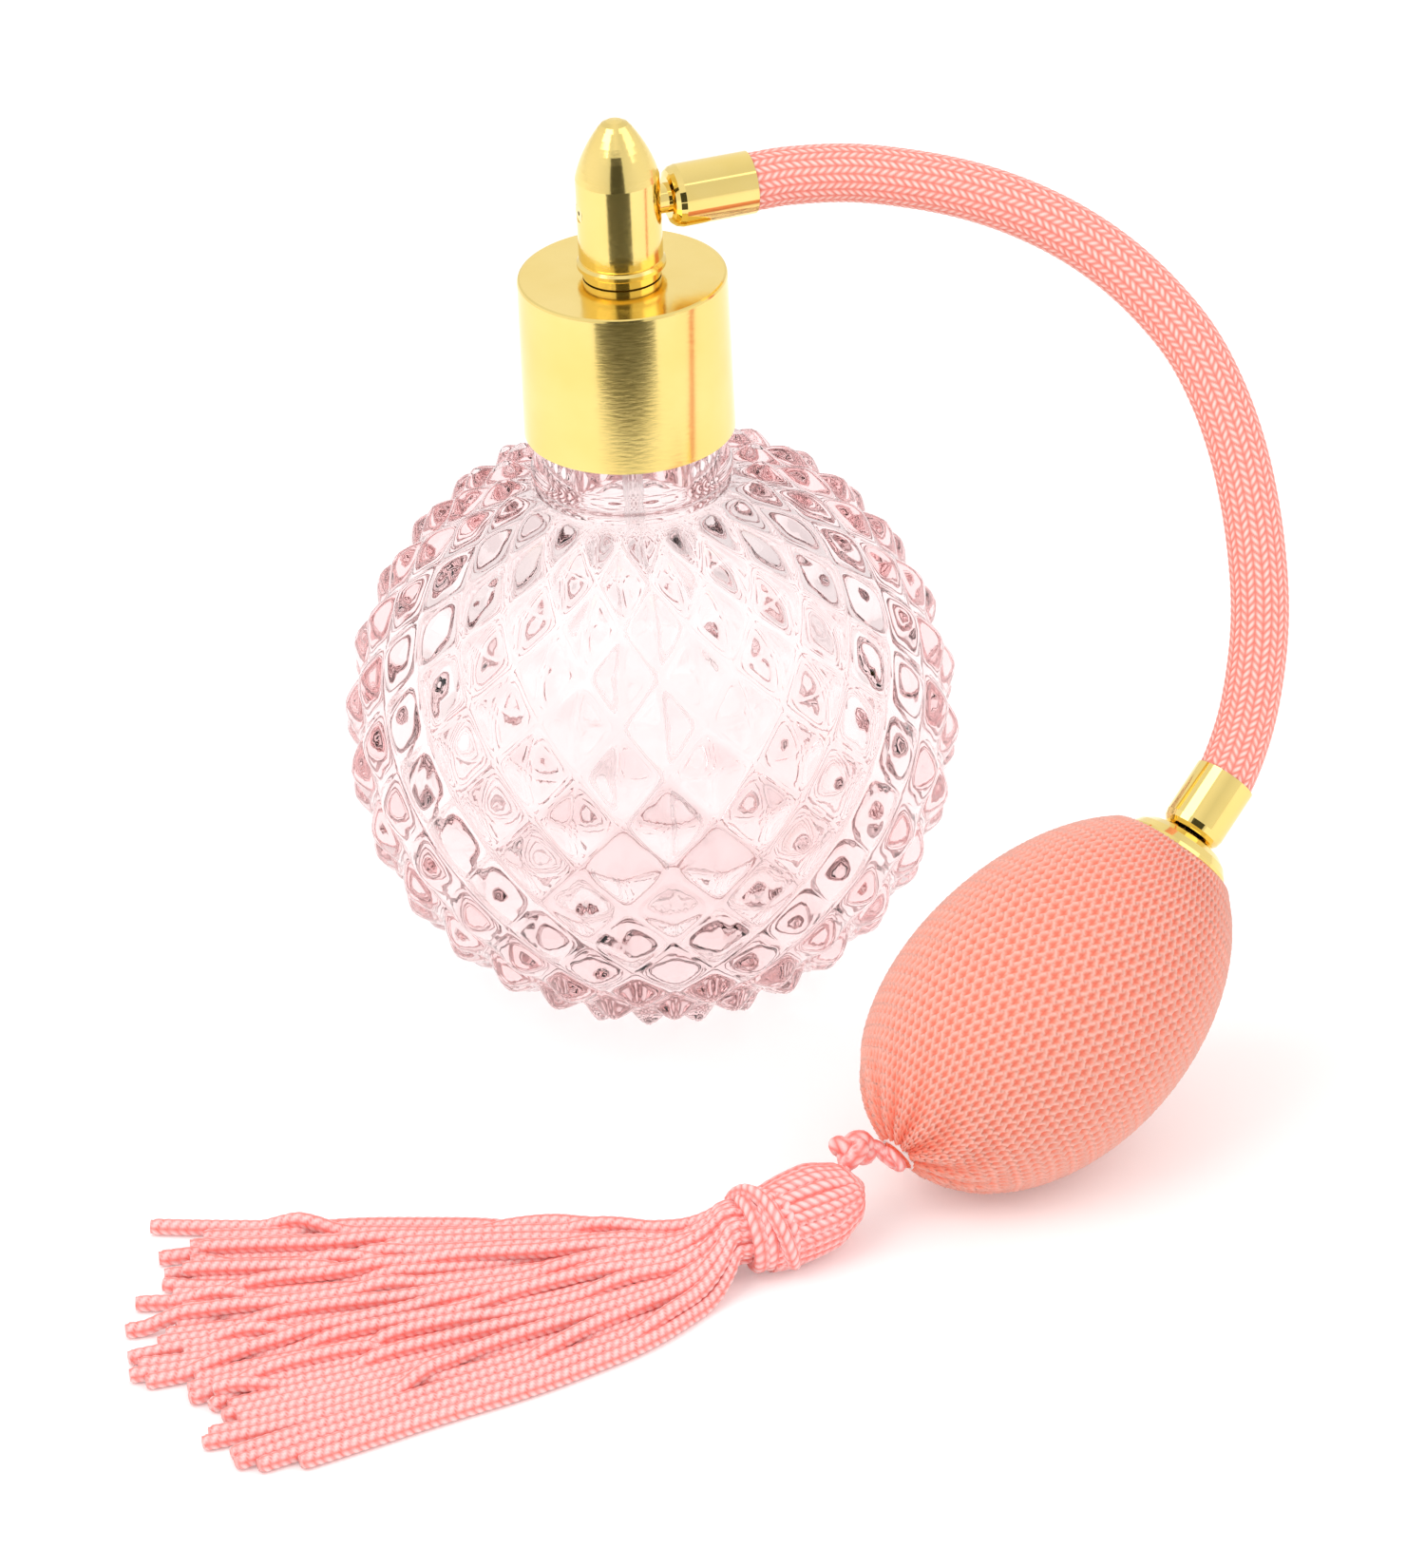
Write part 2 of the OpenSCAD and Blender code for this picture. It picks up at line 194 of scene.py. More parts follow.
def tube(name, path, radius, around, material, relief=None, depth=0.0, bore=None, bore_rows=24):
    """A cord along path, solid or with a bore. relief, 0 to 1, raises its surface by depth and sets the painted
    shade and highlight of its yarn.
    """
    t, x, y = frames_along(path)
    rows = len(path)
    angle = 2 * math.pi * np.arange(around) / around
    r = np.broadcast_to(np.asarray(radius, float).reshape(-1, 1), (rows, around)).copy()
    if relief is not None:
        r -= depth * (1 - relief)
    spokes = np.cos(angle)[None, :, None] * x[:, None, :] + np.sin(angle)[None, :, None] * y[:, None, :]
    points = [(path[:, None, :] + r[:, :, None] * spokes).reshape(-1, 3)]
    faces = grid_faces(rows, around)
    height = [np.ones((rows, around)) if relief is None else relief]
    if bore is None:
        points += [path[:1], path[-1:]]
        height += [height[0][0].mean(), height[0][-1].mean()]
        faces += fan(0, around, rows * around) + fan((rows - 1) * around, around, rows * around + 1, flip=True)
    else:
        pick = np.linspace(rows - 1, 0, bore_rows).astype(int)
        points.append((path[pick][:, None, :] + bore * spokes[pick]).reshape(-1, 3))
        # The bore takes a dark yarn colour: painted shade inside it.
        height.append(np.full((bore_rows, around), 0.3))
        faces += grid_faces(bore_rows + 1, around, (rows - 1) * around)
        last = (rows + bore_rows - 1) * around
        faces += [(last + k, last + (k + 1) % around, (k + 1) % around, k) for k in range(around)]
    height = np.concatenate([np.ravel(h) for h in height])
    return make_mesh(name, np.concatenate(points), faces, material, height)


def braid(rows, around, length, columns, pitch, slant=1.0):
    """Height of a braid's surface: columns of stitches that lean left and right in turn, pitch long."""
    u = (np.arange(around) / around * columns)[None, :]
    s = np.linspace(0, length, rows)[:, None]
    column = np.floor(u)
    x = u - column - 0.5
    lean = np.where(column % 2 == 0, slant, -slant)
    w = s / pitch + lean * x
    f = w - np.floor(w) - 0.5
    edge = 0.25 + 0.75 * np.clip(1 - (2 * np.abs(x)) ** 2.4, 0, 1)
    stitch = np.clip(1 - (2 * np.abs(f)) ** 1.8, 0, 1)
    return edge * (0.12 + 0.88 * stitch)


def rounded(outline, cut, steps=4):
    """A closed outline with each corner rounded over the length cut, or over its own third value."""
    out = []
    for i, p in enumerate(outline):
        corner = (p, outline[i - 1], outline[(i + 1) % len(outline)])
        here, before, after = (np.array(q[:2], float) for q in corner)
        own = p[2] if len(p) > 2 else cut
        if own == 0:
            out.append(here)
            continue
        back, on = before - here, after - here
        c = min(own, 0.45 * np.linalg.norm(back), 0.45 * np.linalg.norm(on))
        a, b = here + unit(back) * c, here + unit(on) * c
        for k in range(steps + 1):
            t = k / steps
            out.append((1 - t) ** 2 * a + 2 * t * (1 - t) * here + t * t * b)
    return np.array(out)


def dense(outline, step, closed=True):
    """The outline with extra points, so that no stretch is longer than step."""
    out = []
    count = len(outline) if closed else len(outline) - 1
    for i in range(count):
        a, b = outline[i], outline[(i + 1) % len(outline)]
        n = max(1, math.ceil(np.linalg.norm(b - a) / step))
        out += [a + (b - a) * k / n for k in range(n)]
    if not closed:
        out.append(outline[-1])
    return np.array(out)


def lathe(name, outline, material, origin=(0, 0, 0), axis=(0, 0, 1), segments=160):
    """A turned piece: a closed outline of (radius, height), anticlockwise, round an axis."""
    x, y, w = axes_of(axis) if abs(unit(axis)[2]) < 0.999 else np.eye(3)
    angle = 2 * math.pi * np.arange(segments) / segments
    spokes = np.cos(angle)[:, None] * x + np.sin(angle)[:, None] * y
    points = [np.asarray(origin) + r * spokes + z * w for r, z in outline]
    obj = make_mesh(name, np.concatenate(points), grid_faces(len(outline), segments, wrap_rows=True), material)
    bm = bmesh.new()
    bm.from_mesh(obj.data)
    bmesh.ops.remove_doubles(bm, verts=bm.verts, dist=1e-7)
    bmesh.ops.dissolve_degenerate(bm, edges=bm.edges, dist=1e-8)
    bm.to_mesh(obj.data)
    bm.free()
    return obj


# ---------------------------------------------------------------- material helpers

def new_material(name):
    material = bpy.data.materials.new(name)
    material.use_nodes = True
    nodes, links = material.node_tree.nodes, material.node_tree.links
    return material, nodes, links, nodes["Principled BSDF"]


def add(nodes, kind, **values):
    """A node with its own settings, and with its sockets set by name after a leading in_."""
    node = nodes.new(kind)
    for key, value in values.items():
        if key.startswith("in_"):
            node.inputs[key[3:].replace("_", " ")].default_value = value
        else:
            setattr(node, key, value)
    return node


def ramp_of(nodes, stops):
    """A colour ramp from (place, colour) pairs."""
    node = nodes.new("ShaderNodeValToRGB")
    ramp = node.color_ramp
    while len(ramp.elements) < len(stops):
        ramp.elements.new(0.5)
    for element, (place, colour) in zip(ramp.elements, stops):
        element.position = place
        element.color = (*colour, 1)
    return node


def fine_bump(nodes, links, shader, scale, strength, distance, detail=4.0):
    """Adds an even, fine roughness to a surface."""
    where = add(nodes, "ShaderNodeTexCoord")
    noise = add(nodes, "ShaderNodeTexNoise", in_Scale=scale, in_Detail=detail)
    bump = add(nodes, "ShaderNodeBump", in_Strength=strength, in_Distance=distance)
    links.new(where.outputs["Object"], noise.inputs["Vector"])
    links.new(noise.outputs["Fac"], bump.inputs["Height"])
    links.new(bump.outputs["Normal"], shader.inputs["Normal"])
    return noise


def gold_material(name, brushed):
    """Bright pale gold plate. brushed adds fine marks round the bottle's axis."""
    material, nodes, links, shader = new_material(name)
    shader.inputs["Metallic"].default_value = 1.0
    where = add(nodes, "ShaderNodeTexCoord")
    tone = add(nodes, "ShaderNodeTexNoise", in_Scale=140.0, in_Detail=3.0)
    links.new(where.outputs["Object"], tone.inputs["Vector"])
    ramp = ramp_of(nodes, [(0.3, (0.90, 0.68, 0.22)), (0.7, (0.93, 0.72, 0.26))])
    links.new(tone.outputs["Fac"], ramp.inputs["Fac"])
    links.new(ramp.outputs["Color"], shader.inputs["Base Color"])
    marks = add(nodes, "ShaderNodeTexNoise", in_Detail=3.0)
    if brushed:
        split = add(nodes, "ShaderNodeSeparateXYZ")
        turn = add(nodes, "ShaderNodeMath", operation="ARCTAN2")
        join = add(nodes, "ShaderNodeCombineXYZ")
        tall = add(nodes, "ShaderNodeMath", operation="MULTIPLY")
        tall.inputs[1].default_value = 2600.0
        wide = add(nodes, "ShaderNodeMath", operation="MULTIPLY")
        wide.inputs[1].default_value = 9.0
        links.new(where.outputs["Object"], split.inputs["Vector"])
        links.new(split.outputs["Y"], turn.inputs[0])
        links.new(split.outputs["X"], turn.inputs[1])
        links.new(turn.outputs[0], wide.inputs[0])
        links.new(split.outputs["Z"], tall.inputs[0])
        links.new(wide.outputs[0], join.inputs["X"])
        links.new(tall.outputs[0], join.inputs["Y"])
        links.new(join.outputs["Vector"], marks.inputs["Vector"])
        marks.inputs["Scale"].default_value = 1.0
    else:
        links.new(where.outputs["Object"], marks.inputs["Vector"])
        marks.inputs["Scale"].default_value = 900.0
    rough = add(nodes, "ShaderNodeMapRange")
    rough.inputs["To Min"].default_value = 0.09 if brushed else 0.04
    rough.inputs["To Max"].default_value = 0.20 if brushed else 0.08
    links.new(marks.outputs["Fac"], rough.inputs["Value"])
    links.new(rough.outputs["Result"], shader.inputs["Roughness"])
    bump = add(nodes, "ShaderNodeBump", in_Strength=0.14 if brushed else 0.02, in_Distance=0.00005)
    links.new(marks.outputs["Fac"], bump.inputs["Height"])
    links.new(bump.outputs["Normal"], shader.inputs["Normal"])
    return material


def glass_material():
    """Clear pressed glass with a faint rose tint, slightly wavy from the mould."""
    material, nodes, links, shader = new_material("rose_glass")
    shader.inputs["Base Color"].default_value = (0.98, 0.95, 0.95, 1)
    shader.inputs["Transmission Weight"].default_value = 1.0
    shader.inputs["Roughness"].default_value = 0.0
    shader.inputs["IOR"].default_value = 1.36
    fine_bump(nodes, links, shader, 260.0, 0.12, 0.0002, detail=2.0)
    tint = add(nodes, "ShaderNodeVolumeAbsorption")
    tint.inputs["Color"].default_value = (1.0, 0.36, 0.36, 1)
    tint.inputs["Density"].default_value = 10.0
    links.new(tint.outputs["Volume"], nodes["Material Output"].inputs["Volume"])
    return material


def yarn_material(name, gap_shade, middle, light, fibre=5200.0):
    """Yarn coloured by how far it stands out: painted shade in the gaps and painted highlights on the raised
    stitches.
    """
    material, nodes, links, shader = new_material(name)
    height = add(nodes, "ShaderNodeAttribute", attribute_name="height")
    # Painted shade and highlight: the first colour is shade painted into the gaps, the last a highlight painted
    # on the raised stitches.
    ramp = ramp_of(nodes, [(0.05, gap_shade), (0.5, middle), (0.95, light)])
    noise = fine_bump(nodes, links, shader, fibre, 0.5, 0.00006)
    mottle = add(nodes, "ShaderNodeMix", data_type="RGBA", blend_type="MULTIPLY")
    mottle.inputs["Factor"].default_value = 0.35
    shade = ramp_of(nodes, [(0.3, (0.78, 0.74, 0.72)), (0.65, (1.0, 1.0, 1.0))])
    links.new(height.outputs["Fac"], ramp.inputs["Fac"])
    links.new(noise.outputs["Fac"], shade.inputs["Fac"])
    links.new(ramp.outputs["Color"], mottle.inputs["A"])
    links.new(shade.outputs["Color"], mottle.inputs["B"])
    links.new(mottle.outputs["Result"], shader.inputs["Base Color"])
    shader.inputs["Roughness"].default_value = 0.62
    shader.inputs["Sheen Weight"].default_value = 0.25
    shader.inputs["Sheen Roughness"].default_value = 0.4
    shader.inputs["Sheen Tint"].default_value = (1.0, 0.85, 0.8, 1)
    return material


def plain_material(name, low, high, roughness, scale=300.0, strength=0.15, transmission=0.0):
    """Moulded plastic or rubber with a slight mottle and an even, fine texture."""
    material, nodes, links, shader = new_material(name)
    noise = fine_bump(nodes, links, shader, scale * 6, strength, 0.00005)
    ramp = ramp_of(nodes, [(0.35, low), (0.65, high)])
    links.new(noise.outputs["Fac"], ramp.inputs["Fac"])
    links.new(ramp.outputs["Color"], shader.inputs["Base Color"])
    shader.inputs["Roughness"].default_value = roughness
    shader.inputs["Transmission Weight"].default_value = transmission
    return material


gold_brushed = gold_material("gold_brushed", True)
gold_polished = gold_material("gold_polished", False)
rose_glass = glass_material()
# Each yarn's first colour is painted shade for its gaps and its last a painted highlight for its raised
# stitches.
hose_yarn = yarn_material("hose_yarn", (0.90, 0.20, 0.15), (0.95, 0.34, 0.28), (1.0, 0.70, 0.64))
knit_yarn = yarn_material("knit_yarn", (0.97, 0.14, 0.06), (0.97, 0.34, 0.24), (1.0, 0.52, 0.43))
cord_yarn = yarn_material("cord_yarn", (0.97, 0.18, 0.14), (0.97, 0.42, 0.40), (1.0, 0.71, 0.69))
white_plastic = plain_material("white_plastic", (0.80, 0.80, 0.78), (0.88, 0.88, 0.87), 0.4)
clear_plastic = plain_material("clear_plastic", (0.97, 0.96, 0.96), (0.99, 0.99, 0.99), 0.08, transmission=1.0)
seal_rubber = plain_material("seal_rubber", (0.02, 0.02, 0.02), (0.04, 0.04, 0.04), 0.6)
bulb_rubber = plain_material("bulb_rubber", (0.62, 0.14, 0.08), (0.70, 0.18, 0.11), 0.55)
SLOT_FINISH = {
    "clear_glass": rose_glass, "gold_metal": gold_polished, "white_plastic": white_plastic,
    "clear_plastic": clear_plastic, "seal_rubber": seal_rubber, "bulb_rubber": bulb_rubber,
    "hose_fabric": hose_yarn, "knit_fabric": knit_yarn, "tassel_cord": cord_yarn,
}


# ---------------------------------------------------------------- camera

def make_camera():
    """Looks down at 28.8 degrees from the side of the tassel."""
    elevation, roll = math.radians(28.8), math.radians(2.8)
    level, up = np.array([1, 0, 0]), np.array([0, math.sin(elevation), math.cos(elevation)])
    ahead = np.array([0, math.cos(elevation), -math.sin(elevation)])
    right = math.cos(roll) * level - math.sin(roll) * up
    over = math.sin(roll) * level + math.cos(roll) * up
    data = bpy.data.cameras.new("camera")
    data.sensor_fit = "VERTICAL"
    data.sensor_height = 36.0
    data.lens = 270.65
    data.clip_end = 20.0
    camera = bpy.data.objects.new("camera", data)
    matrix = np.eye(4)
    matrix[:3, 0], matrix[:3, 1], matrix[:3, 2] = right, over, -ahead
    matrix[:3, 3] = np.array([7.2587, -1318.684, 748.446]) * MM
    camera.matrix_world = matrix.T.tolist()
    bpy.context.collection.objects.link(camera)
    bpy.context.scene.camera = camera


# ---------------------------------------------------------------- hose

def hose_cord():
    path = smooth_curve(HOSE_ROUTE)
    length = path_length(path)
    path = even(path, 700)
    around, pitch = 132, 1.04
    relief = braid(len(path), around, length, 22, pitch)
    hose = tube("hose_braid_cord", path, HOSE_D / 2, around, hose_yarn, relief, 0.2, bore=2.98)
    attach(hose, "head")
    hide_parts("hose_braid")


# ---------------------------------------------------------------- tassel

def settle_strands():
    """Lays the tassel's strands on the table: a small rope simulation with fixed segment lengths."""
    count, points = STRANDS, 34
    along = direction(SKIRT_AZ, 0)
    side = np.array([-along[1], along[0], 0])
    up = np.array([0, 0, 1.0])
    # Places in the wrap: a sunflower spiral, so that neighbours stay neighbours in the fan
    k = np.arange(count)
    r = 3.3 * np.sqrt((k + 0.5) / count)
    a = k * math.pi * (3 - math.sqrt(5))
    across, rise = r * np.cos(a), r * np.sin(a)
    order = np.argsort(across)
    place = np.empty(count)
    place[order] = (np.arange(count) + 0.5) / count - 0.5
    spread = np.radians(43.0) * (place + rng.normal(0, 0.03, count))
    length = STRAND_LENGTH + rng.uniform(-5, 3.5, count) - 6 * np.abs(place)
    seg = length / (points - 1)
    s = seg[:, None] * np.arange(points)[None, :]
    wave = rng.uniform(1.2, 4.2, count)[:, None] * smoothstep(s, 6, 40) * np.sin(
        2 * math.pi * s / rng.uniform(36, 62, count)[:, None] + rng.uniform(0, 6.3, count)[:, None])
    # The front strands swing out at once and curve back, so the fan's front edge bulges
    front = smoothstep(place, 0.0, 0.5)[:, None]
    heading = spread[:, None] * smoothstep(s, -10, 26) * (1 + front * (0.9 - 1.5 * smoothstep(s, 10, 75)))
    step_along, step_side = np.cos(heading) * seg[:, None], np.sin(heading) * seg[:, None]
    x = np.cumsum(step_along, 1) - step_along[:, :1]
    y = across[:, None] + np.cumsum(step_side, 1) - step_side[:, :1] + wave
    z = WRAP_P[2] + rise[:, None] * (1 + 0.5 * smoothstep(s, 0, 20)) + 3.0 * smoothstep(s, 5, 30)
    p = np.array([WRAP_P[0], WRAP_P[1], 0]) + x[..., None] * along + y[..., None] * side + z[..., None] * up
    fixed = 3
    start = p[:, :fixed].copy()
    floor = CORD_D / 2
    gap = np.tile(np.interp(np.arange(points), [0, 2, 8], [0.9, 1.1, CORD_D * 0.98]), count)
    owner = np.repeat(np.arange(count), points)
    index = np.tile(np.arange(points), count)
    near = (owner[:, None] == owner[None, :])
    want = (gap[:, None] + gap[None, :]) / 2
    rounds = 220
    old = p.copy()
    for i in range(rounds):
        motion = (p - old) * 0.6
        old = p.copy()
        p = p + motion
        p[:, fixed:, 2] -= 0.06
        for _ in range(3):
            for first in (0, 1):
                d = p[:, first + 1::2] - p[:, first:-1:2]
                n = np.linalg.norm(d, axis=2)[..., None]
                fix = d * (0.5 * (n - seg[:, None, None]) / n)
                p[:, first:-1:2] += fix
                p[:, first + 1::2] -= fix
            p[:, :fixed] = start
        bend = p[:, 2:] - 2 * p[:, 1:-1] + p[:, :-2]
        p[:, 1:-1] += 0.08 * bend
        flat = p.reshape(-1, 3)
        square = (flat ** 2).sum(1)
        far = square[:, None] + square[None, :] - 2 * flat @ flat.T
        hit = (far < want ** 2) & ~near
        one, two = np.nonzero(np.triu(hit, 1))
        d = flat[two] - flat[one]
        n = np.maximum(np.linalg.norm(d, axis=1), 1e-3)[:, None]
        push = d / n * (0.35 * (want[one, two][:, None] - n))
        push[:, :2] *= 0.45
        total = np.zeros_like(flat)
        np.add.at(total, two, push)
        np.add.at(total, one, -push)
        flat = flat + total
        p = flat.reshape(count, points, 3)
        p[:, :fixed] = start
        p[..., 2] = np.maximum(p[..., 2], floor)
    return p, place


def tassel_strands():
    p, place = settle_strands()
    pitch, columns, around = 1.2, 4, 16
    for k, line in enumerate(p):
        path = smooth_curve(line, 10)
        length = path_length(path)
        path = even(path, int(length / pitch * 4.4))
        s = np.linspace(0, length, len(path))
        radius = CORD_D / 2 * (0.78 + 0.22 * smoothstep(s, 2, 14))
        radius = radius * np.where(s > length - 0.35, 0.86, 1.0)
        relief = braid(len(path), around, length, columns, pitch, 0.9)
        strand = tube(f"tassel_strand_{k + 1:02d}", path, radius, around, cord_yarn, relief, 0.14)
        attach(strand, "tassel")
    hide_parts("tassel_skirt")


def short_cord(name, path, radius, body, pitch=1.2, columns=4, around=16, material=None):
    """A tied or folded length of the tassel's cord."""
    length = path_length(path)
    path = even(path, max(12, int(length / pitch * 4.4)))
    relief = braid(len(path), around, length, columns, pitch, 0.9)
    cord = tube(name, path, radius, around, material or cord_yarn, relief, 0.14)
    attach(cord, body)
    return cord


def tassel_head():
    """The folded head: cords that run over it from the knot to the wrap, and a core of cords under them."""
    axis = unit(HEAD_P + np.array([0, 0, 0.6]) - WRAP_P)
    x, y, w = axes_of(axis)
    span = np.linalg.norm(HEAD_P - WRAP_P)
    back, front = -span - 1.0, 4.9
    loops = 20
    for k in range(loops):
        a = 2 * math.pi * (k + 0.5) / loops + 0.03 * math.sin(2.1 * k)
        pts = []
        for i in range(9):
            t = i / 8
            z = back + (front - back) * t
            belly = math.sin(math.pi * min(1, (t * 0.90 + 0.10))) ** 0.48
            r = 2.6 + (TASSEL_R - 0.95 - 2.6) * belly if t < 0.66 else (TASSEL_R - 0.95) * belly
            turn = a + 0.35 * (t - 0.5)
            pts.append(HEAD_P + z * w + r * (math.cos(turn) * x + math.sin(turn) * y))
        path = smooth_curve(pts, 12)
        path[:, 2] = np.maximum(path[:, 2], CORD_D / 2 + 0.05)
        short_cord(f"tassel_fold_{k + 1:02d}", path, CORD_D / 2, "tassel")
    outline = rounded([(0, -7.2), (3.4, -6.4), (4.8, -1), (4.6, 1.8), (2.8, 4.0), (0, 4.6)], 1.2)
    # The core has no height values, so its yarn is all the gap colour: painted shade under the folds.
    core = lathe("tassel_fold_core", outline, cord_yarn, HEAD_P, w, 48)
    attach(core, "tassel")
    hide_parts("tassel_head")


def tassel_wrap():
    """Three turns of cord round the tassel's neck, with the last one crossing over them."""
    x, y, w = axes_of(direction((TASSEL_AZ + SKIRT_AZ) / 2, 0))
    pts = []
    for i in range(49):
        t = i / 48
        a = 2 * math.pi * 3.4 * t - 0.6
        z = -2.5 + 4.8 * t
        pts.append(WRAP_P + z * w + 4.15 * (math.cos(a) * x + math.sin(a) * y))
    wrap = short_cord("tassel_wrap_cord", smooth_curve(pts, 6), CORD_D / 2, "tassel")
    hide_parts("tassel_wrap")
    cross = []
    for i in range(17):
        t = i / 16
        a = math.radians(150 - 200 * t)
        z = 2.6 - 5.2 * t
        r = 4.9 + 0.5 * math.sin(math.pi * t)
        cross.append(WRAP_P + z * w + r * (math.cos(a) * x + math.sin(a) * y))
    path = smooth_curve(cross, 8)
    path[:, 2] = np.maximum(path[:, 2], CORD_D / 2 + 0.05)
    short_cord("tassel_wrap_crossing", path, CORD_D / 2 * 0.92, "tassel")


def knots():
    """The knot between the bulb's cover and the tassel, and the cord that ties the cover's end."""
    pts = []
    knot_size = np.array([0.62, 0.55, 0.75])
    for i in range(40):
        a = 2 * math.pi * i / 40
        knot = np.array([math.sin(a) + 2 * math.sin(2 * a), math.cos(a) - 2 * math.cos(2 * a),
                         -math.sin(3 * a)])
        pts.append(KNOT_P + knot_size * knot * 1.1)
    knot = short_cord("tassel_knot", smooth_curve(pts, 6), 1.2, "loop")
    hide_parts("tassel_loop")
    x, y, w = axes_of(direction(BULB_AZ, BULB_INC))
    tail = BULB_C - (BULB_A + TAIL_GAP) * w
    pts = [tail + (1.9 - 1.4 * i / 30) * w + 1.2 * (math.cos(i * 0.42) * x + math.sin(i * 0.42) * y)
           for i in range(31)]
    tie = short_cord("cover_tie_cord", smooth_curve(pts, 6), 0.75, "head")
    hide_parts("cover_tie")
    link = [tail + 2 * w, tail + 0.6 * w, (tail + KNOT_P) / 2 + np.array([0.4, 0.9, 0.9]), KNOT_P]
    short_cord("cover_tie_link", smooth_curve(link, 12), 1.0, "head")
    down = [KNOT_P, (KNOT_P * 0.5 + HEAD_P * 0.5) + np.array([0.6, 0.4, 0.4]),
            HEAD_P + np.array([1.2, 1.6, 0.6])]
    short_cord("tassel_knot_tail", smooth_curve(down, 12), 1.0, "tassel")


# ---------------------------------------------------------------- bulb

def bulb_profile(inset, first, last, step):
    """(radius, height) points of the bulb's egg outline at even distances, from radius first at the tail."""
    t = np.radians(np.linspace(0.2, 179.8, 1500))
    h = -np.cos(t)
    r = (BULB_B - inset) * np.sin(t) * (1 - BULB_FATTER * h)
    z = (BULB_A - inset) * h
    z = z + 0.9 * np.exp(-(r / 5.0) ** 2) * (h < 0) - 1.6 * np.exp(-(r / 1.9) ** 2) * (h < 0)
    keep = ((h < 0) & (r > first)) | ((h >= 0) & (r > last))
    line = np.stack([r[keep], z[keep], np.zeros(keep.sum())], 1)
    return even(line, max(3, round(path_length(line) / step)))[:, :2]


def place_bulb(r, z, angle):
    """Points of the bulb: sagged towards the table, resting on it, and drawn in under the cap."""
    x, y, w = axes_of(direction(BULB_AZ, BULB_INC))
    sag = unit(np.array([0, 0, -1]) + w * w[2])
    shift = SAG * (1 - (z / BULB_A) ** 2)
    p = (BULB_C + z[..., None] * w + shift[..., None] * sag
         + (r * np.cos(angle))[..., None] * x + (r * np.sin(angle))[..., None] * y)
    cx, cy, cw = axes_of(direction(CAP_AZ, CAP_INC))
    local = p - CAP_P
    high = local @ cw
    wide = np.hypot(local @ cx, local @ cy)
    sink = (1 - smoothstep(wide, CAP_R, CAP_R + 1.9)) * np.where(high > -12, high - CAP_RIM, 0)
    p = p - sink[..., None] * cw
    low = 1.6
    z_up = p[..., 2]
    p[..., 2] = np.where(z_up < low, low - (low - 0.35) * (1 - np.exp((z_up - low) / (low - 0.35))), z_up)
    return p


def knitted_cover():
    stitches, per, courses_step = 80, 4, 1.4
    around = stitches * per
    outline = bulb_profile(0, 1.3, 5.8, courses_step / 4.6)
    rows = len(outline)
    r, z = outline[:, :1], outline[:, 1:]
    s = np.r_[0, np.cumsum(np.linalg.norm(np.diff(outline, axis=0), axis=1))][:, None]
    angle = 2 * math.pi * np.arange(around)[None, :] / around
    u = np.arange(around)[None, :] / per
    v = s / courses_step
    # Each course is a zigzag ridge, and neighbouring courses are half a stitch apart
    best = np.zeros((rows, around))
    for near in (-1, 0, 1, 2):
        course = np.floor(v) + near
        zig = 2 * np.abs((u + 0.5 * course) % 1 - 0.5) - 0.5
        ridge = np.exp(-((v - course - 0.62 * zig) / 0.34) ** 2)
        best = np.maximum(best, ridge)
    # The end is gathered: folds run out from the tie, and stitches crowd together
    gather = np.exp(-(s / 9.5) ** 2)
    phase = 0.5 * np.sin(3 * angle + 1.0) + 0.4 * np.sin(s / 2.1)
    folds = 0.5 + 0.5 * np.sin(13 * angle + 2.5 * phase + 0.25 * s)
    lumps = 0.5 + 0.5 * np.sin(37 * angle + s * 2.3 + 3 * np.sin(5 * angle)) * np.sin(s * 2.9 + 9 * angle)
    rise = -0.65 * (1 - best) - gather * smoothstep(s, 0.4, 3) * (1.6 * (1 - folds) + 1.2 * (1 - lumps))
    outer = place_bulb(r + rise * (0.35 + 0.65 * smoothstep(r, 1.5, 6)), z + 0 * angle, angle + 0 * s)
    # Painted shade: the yarn's colour darkens between the courses, in the troughs of the gathered folds and
    # next to the tie.
    height = (0.25 + 0.75 * best) * (1 - 0.95 * gather * (1 - folds))
    height *= 0.25 + 0.75 * smoothstep(s, 0.5, 3.5)
    inner_rows = 22
    pick = np.linspace(rows - 1, 0, inner_rows).astype(int)
    inner = place_bulb(np.maximum(r[pick] - 1.15, 0.4) + 0 * angle, z[pick] * 0.975 + 0 * angle,
                       angle + 0 * r[pick])
    points = np.concatenate([outer.reshape(-1, 3), inner.reshape(-1, 3)])
    faces = grid_faces(rows, around) + grid_faces(inner_rows + 1, around, (rows - 1) * around)
    last = (rows + inner_rows - 1) * around
    faces += [(last + k, last + (k + 1) % around, (k + 1) % around, k) for k in range(around)]
    # The inner wall takes the dark gap colour: painted shade.
    heights = np.concatenate([height.ravel(), np.full(inner_rows * around, 0.2)])
    cover = make_mesh("knitted_bulb_cover", points, faces, knit_yarn, heights)
    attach(cover, "head")
    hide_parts("bulb_cover")
    return cover


